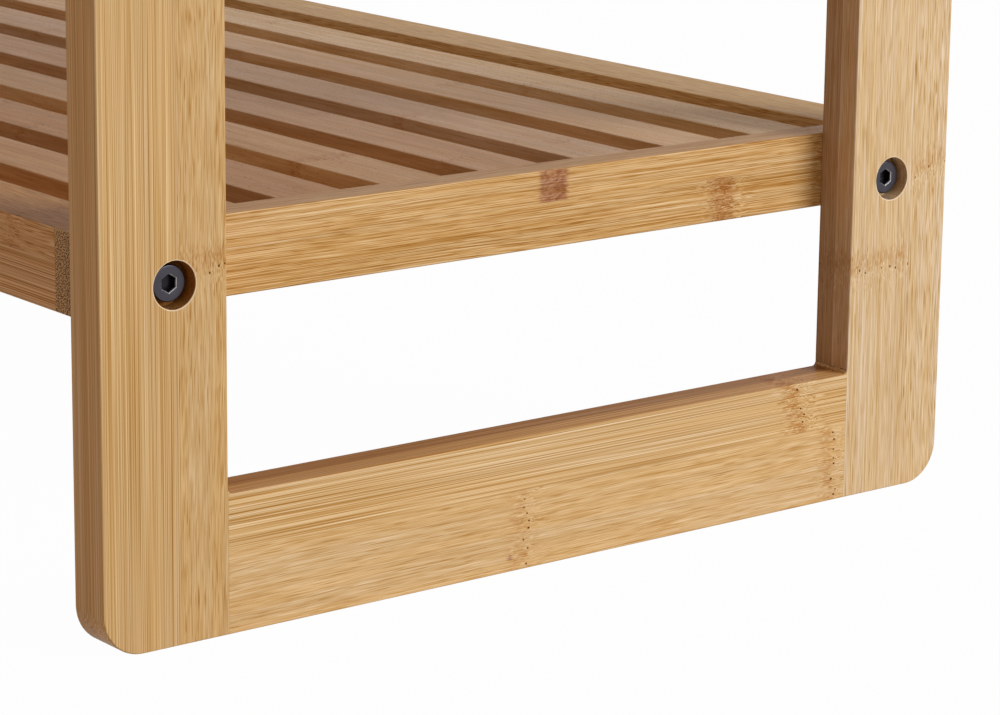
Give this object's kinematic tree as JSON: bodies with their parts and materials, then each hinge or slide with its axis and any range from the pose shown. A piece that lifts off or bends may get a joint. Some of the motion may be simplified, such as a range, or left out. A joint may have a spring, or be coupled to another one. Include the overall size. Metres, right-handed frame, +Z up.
{
  "type": "entryway bench",
  "caption": "Slatted bamboo entryway bench with a lower shelf, carried by two rounded end frames with bolted joints.",
  "frame": {"origin": "on the floor at the middle of the bench's length and depth", "axes": "+X runs along the bench to its right end, the front faces -Y, +Z is up"},
  "size_m": [0.9, 0.35, 0.45],
  "materials": {
    "frame_bamboo": "satin clear-lacquered laminated bamboo, caramel tan",
    "panel_bamboo": "satin clear-lacquered laminated bamboo, caramel brown",
    "dowel_wood": "plain beech",
    "black_bolt": "black-coated steel, satin",
    "insert_brass": "plain brass",
    "screw_zinc": "zinc-plated steel"
  },
  "bodies": {
    "root": {"left_front_post": "frame_bamboo", "left_back_post": "frame_bamboo", "left_bottom_rail": "frame_bamboo", "left_top_rail": "frame_bamboo", "left_frame_dowels": "dowel_wood", "right_front_post": "frame_bamboo", "right_back_post": "frame_bamboo", "right_bottom_rail": "frame_bamboo", "right_top_rail": "frame_bamboo", "right_frame_dowels": "dowel_wood", "shelf_front_rail": "panel_bamboo", "shelf_back_rail": "panel_bamboo", "shelf_left_end_rail": "panel_bamboo", "shelf_right_end_rail": "panel_bamboo", "shelf_bolts": "black_bolt", "shelf_inserts": "insert_brass", "shelf_bearer_screws": "screw_zinc", "seat_front_rail": "panel_bamboo", "seat_back_rail": "panel_bamboo", "seat_left_end_rail": "panel_bamboo", "seat_right_end_rail": "panel_bamboo", "seat_bolts": "black_bolt", "seat_inserts": "insert_brass", "seat_bearer_screws": "screw_zinc", "shelf_slat_1": "panel_bamboo", "shelf_slat_2": "panel_bamboo", "shelf_slat_3": "panel_bamboo", "shelf_slat_4": "panel_bamboo", "shelf_slat_5": "panel_bamboo", "shelf_slat_6": "panel_bamboo", "shelf_slat_7": "panel_bamboo", "seat_slat_1": "panel_bamboo", "seat_slat_2": "panel_bamboo", "seat_slat_3": "panel_bamboo", "seat_slat_4": "panel_bamboo", "seat_slat_5": "panel_bamboo", "seat_slat_6": "panel_bamboo", "seat_slat_7": "panel_bamboo", "shelf_bearer": "panel_bamboo", "seat_left_bearer": "panel_bamboo", "seat_right_bearer": "panel_bamboo"}
  },
  "joints": []
}
